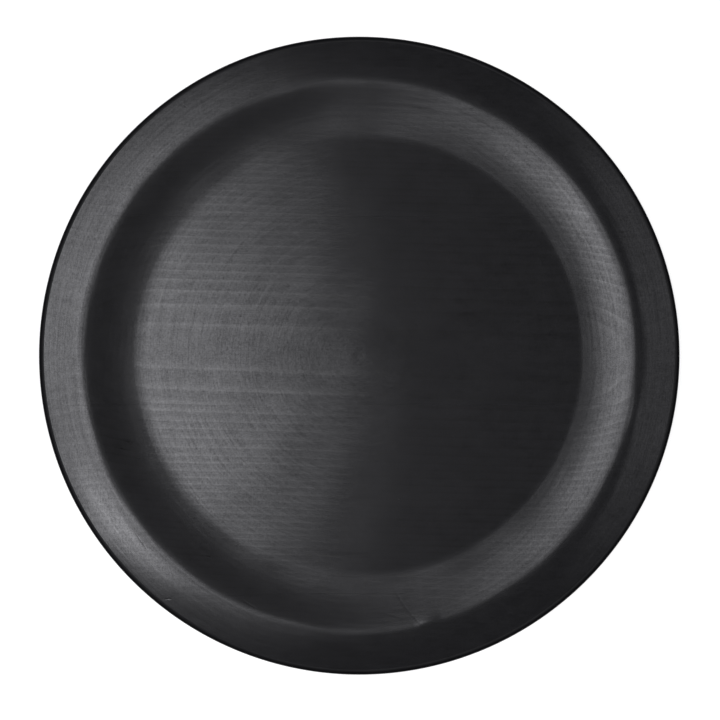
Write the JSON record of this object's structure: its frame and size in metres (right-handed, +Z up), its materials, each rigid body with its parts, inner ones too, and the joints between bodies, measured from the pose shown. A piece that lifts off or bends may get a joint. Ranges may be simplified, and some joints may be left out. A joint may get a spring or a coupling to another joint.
{
  "type": "serving tray",
  "caption": "Round black-stained wooden serving tray with a plain broad rim, a hollow curved wall and a shallow flat-floored well, turned from edge-glued boards.",
  "frame": {"origin": "centre of the foot ring, on the plane that the tray rests on", "axes": "+Z up through the middle of the tray, which is its turning axis; X along the grain and the glue joints; +Y across the grain, from the narrowest board towards the back"},
  "size_m": [0.356, 0.356, 0.0175],
  "materials": {
    "black_wood": "satin wax over black stain"
  },
  "bodies": {
    "root": {"front_board": "black_wood", "front_middle_board": "black_wood", "back_middle_board": "black_wood", "back_board": "black_wood"}
  },
  "joints": []
}
